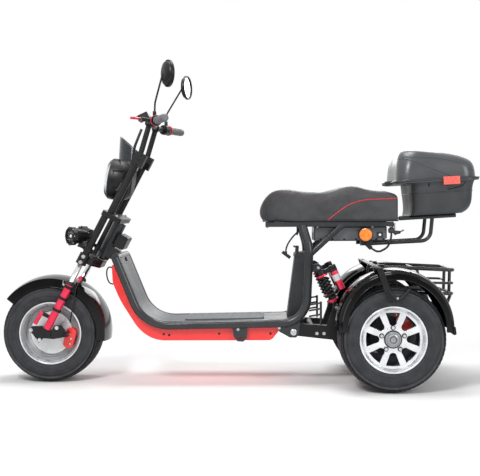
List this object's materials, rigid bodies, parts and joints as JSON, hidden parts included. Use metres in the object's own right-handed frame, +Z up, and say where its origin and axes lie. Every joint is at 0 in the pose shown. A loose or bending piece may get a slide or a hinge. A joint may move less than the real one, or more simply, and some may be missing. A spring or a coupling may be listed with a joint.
{
  "type": "electric tricycle",
  "caption": "Step-through electric tricycle with a steered fat front wheel, fat rear wheels under mudguards, a long seat and a lidded top box on a rack.",
  "frame": {"origin": "centre of the bounding box at ground level, where the tyres stand", "axes": "+X forward, +Y to the rider's left, +Z up"},
  "size_m": [2.1094, 0.7496, 1.4141],
  "materials": {
    "frame_paint": "dark grey gloss paint",
    "black_gloss": "black gloss paint",
    "red_gloss": "bright red gloss paint",
    "red_anodised": "red anodised",
    "black_plastic": "fine textured",
    "box_plastic": "fine textured dark grey",
    "case_grey": "light grey paint",
    "chromed": "polished",
    "wheel_silver": "silver painted cast",
    "axle_cast": "dark cast",
    "tyre_rubber": "matte",
    "grip_rubber": "matte grey",
    "mat_rubber": "ribbed",
    "cable_rubber": "smooth",
    "seat_leather": "black with red piping and stitching",
    "reflector_red": "prismatic",
    "lamp_amber": "clear amber",
    "lens_clear": "clear",
    "screen_smoked": "smoked",
    "mirror_silver": "mirror",
    "spring_steel": "black coated spring steel"
  },
  "bodies": {
    "frame": {"battery_pack": "black_plastic", "belly_pan": "red_gloss", "box_base": "box_plastic", "box_rack": "black_gloss", "box_reflectors": "reflector_red", "controller_case": "case_grey", "damper_springs": "spring_steel", "dampers": "red_anodised", "floor_deck": "frame_paint", "floor_mat": "mat_rubber", "head_cover": "black_plastic", "main_frame": "frame_paint", "mudguard_stays": "black_gloss", "rear_axle": "axle_cast", "rear_calipers": "red_anodised", "rear_carrier": "black_gloss", "rear_lead": "cable_rubber", "rear_mudguard_left": "black_gloss", "rear_mudguard_right": "black_gloss", "seat_cushion": "seat_leather", "seat_lead": "cable_rubber", "seat_lead_plug": "cable_rubber", "signal_lamps": "lamp_amber", "swing_arm": "frame_paint"},
    "steering": {"fork_sliders": "red_anodised", "fork_stanchions": "chromed", "fork_crown": "frame_paint", "axle_links": "frame_paint", "front_caliper": "red_anodised", "front_mudguard": "black_gloss", "handlebar": "frame_paint", "grips": "grip_rubber", "brake_levers": "black_gloss", "mirrors": "black_gloss", "mirror_glass": "mirror_silver", "headlight": "black_gloss", "headlight_lens": "lens_clear", "windshield": "screen_smoked", "fog_lights": "black_plastic", "fog_lenses": "lens_clear", "control_cables": "cable_rubber"},
    "front_wheel": {"front_tyre": "tyre_rubber", "front_rim": "wheel_silver"},
    "rear_wheel_left": {"rear_tyre_left": "tyre_rubber", "rear_rim_left": "wheel_silver"},
    "rear_wheel_right": {"rear_tyre_right": "tyre_rubber", "rear_rim_right": "wheel_silver"},
    "top_box_lid": {"box_lid": "box_plastic"}
  },
  "joints": [
    {"name": "steering_turn", "type": "hinge", "parent": "frame", "child": "steering", "pos_m": [0.57915, 0, 0.61806], "axis": [-0.4695, 0, 0.8829], "range_deg": [-35, 35]},
    {"name": "front_wheel_spin", "type": "hinge", "parent": "steering", "child": "front_wheel", "pos_m": [0.83459, 0, 0.22], "axis": [0, 1, 0], "continuous": true},
    {"name": "rear_left_spin", "type": "hinge", "parent": "frame", "child": "rear_wheel_left", "pos_m": [-0.65941, 0.264, 0.224], "axis": [0, 1, 0], "continuous": true},
    {"name": "rear_right_spin", "type": "hinge", "parent": "frame", "child": "rear_wheel_right", "pos_m": [-0.65941, -0.264, 0.224], "axis": [0, 1, 0], "continuous": true},
    {"name": "top_box_open", "type": "hinge", "parent": "frame", "child": "top_box_lid", "pos_m": [-0.66869, 0, 0.88258], "axis": [0, 1, 0], "range_deg": [0, 75]}
  ]
}
